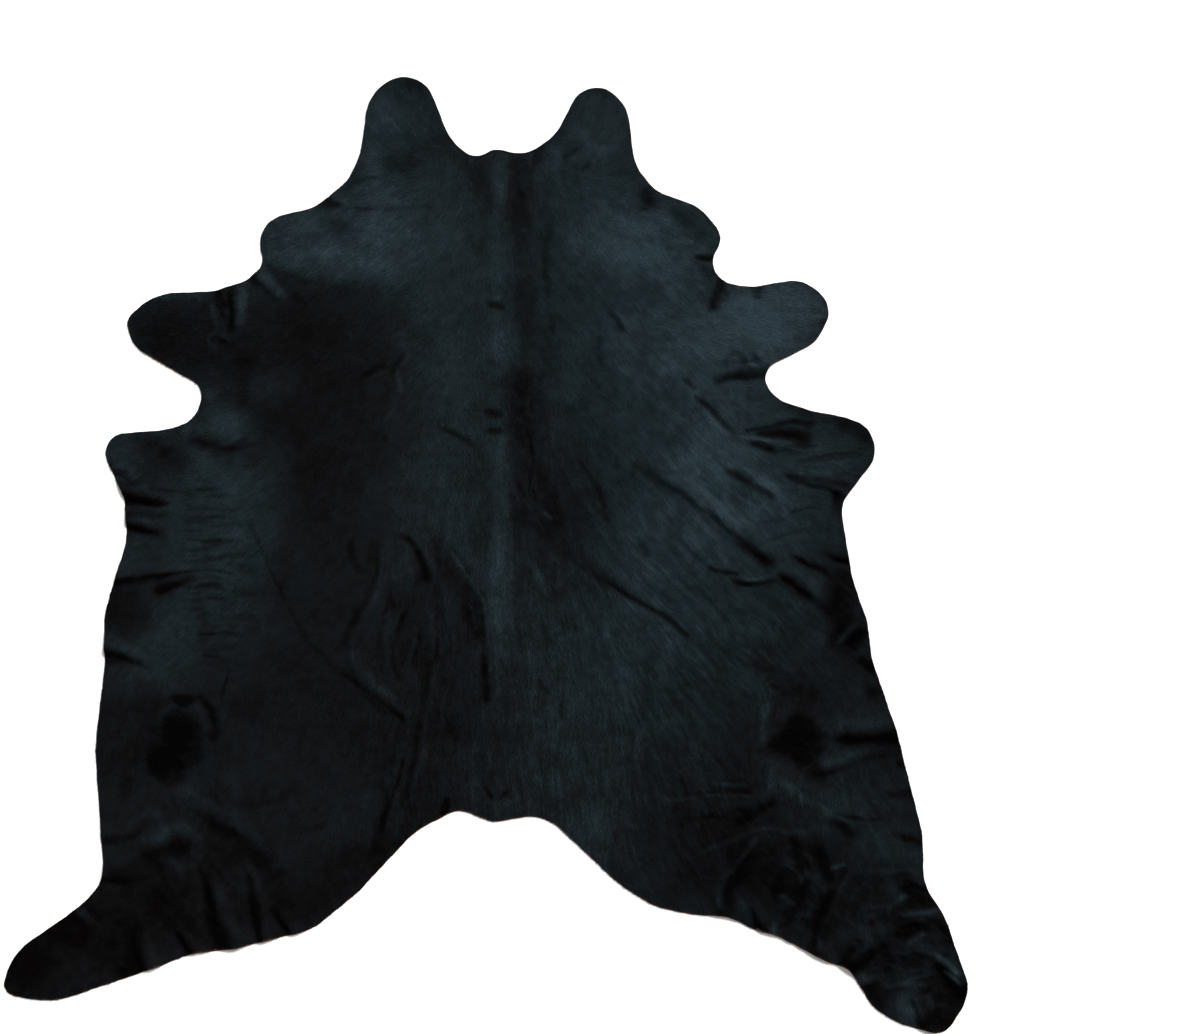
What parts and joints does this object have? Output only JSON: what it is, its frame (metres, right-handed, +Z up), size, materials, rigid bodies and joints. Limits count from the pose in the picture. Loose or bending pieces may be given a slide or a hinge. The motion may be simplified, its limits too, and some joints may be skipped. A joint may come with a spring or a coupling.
{
  "type": "cowhide rug",
  "caption": "Flat trimmed cowhide rug with the natural outline of ears, forelegs, flanks and hind legs, soft folds and a wavy edge, laid hair side up on the floor.",
  "frame": {"origin": "on the floor, under the middle of the outline's box", "axes": "+Z up from the floor, hair side up; +Y towards the head end; +X towards the right side of the hide seen from above"},
  "size_m": [2.1668, 2.1496, 0.016],
  "materials": {
    "hide": "short black hair lying flat, with a slate sheen, over a suede flesh side and a tan cut edge"
  },
  "bodies": {
    "root": {"hide": "hide"}
  },
  "joints": []
}
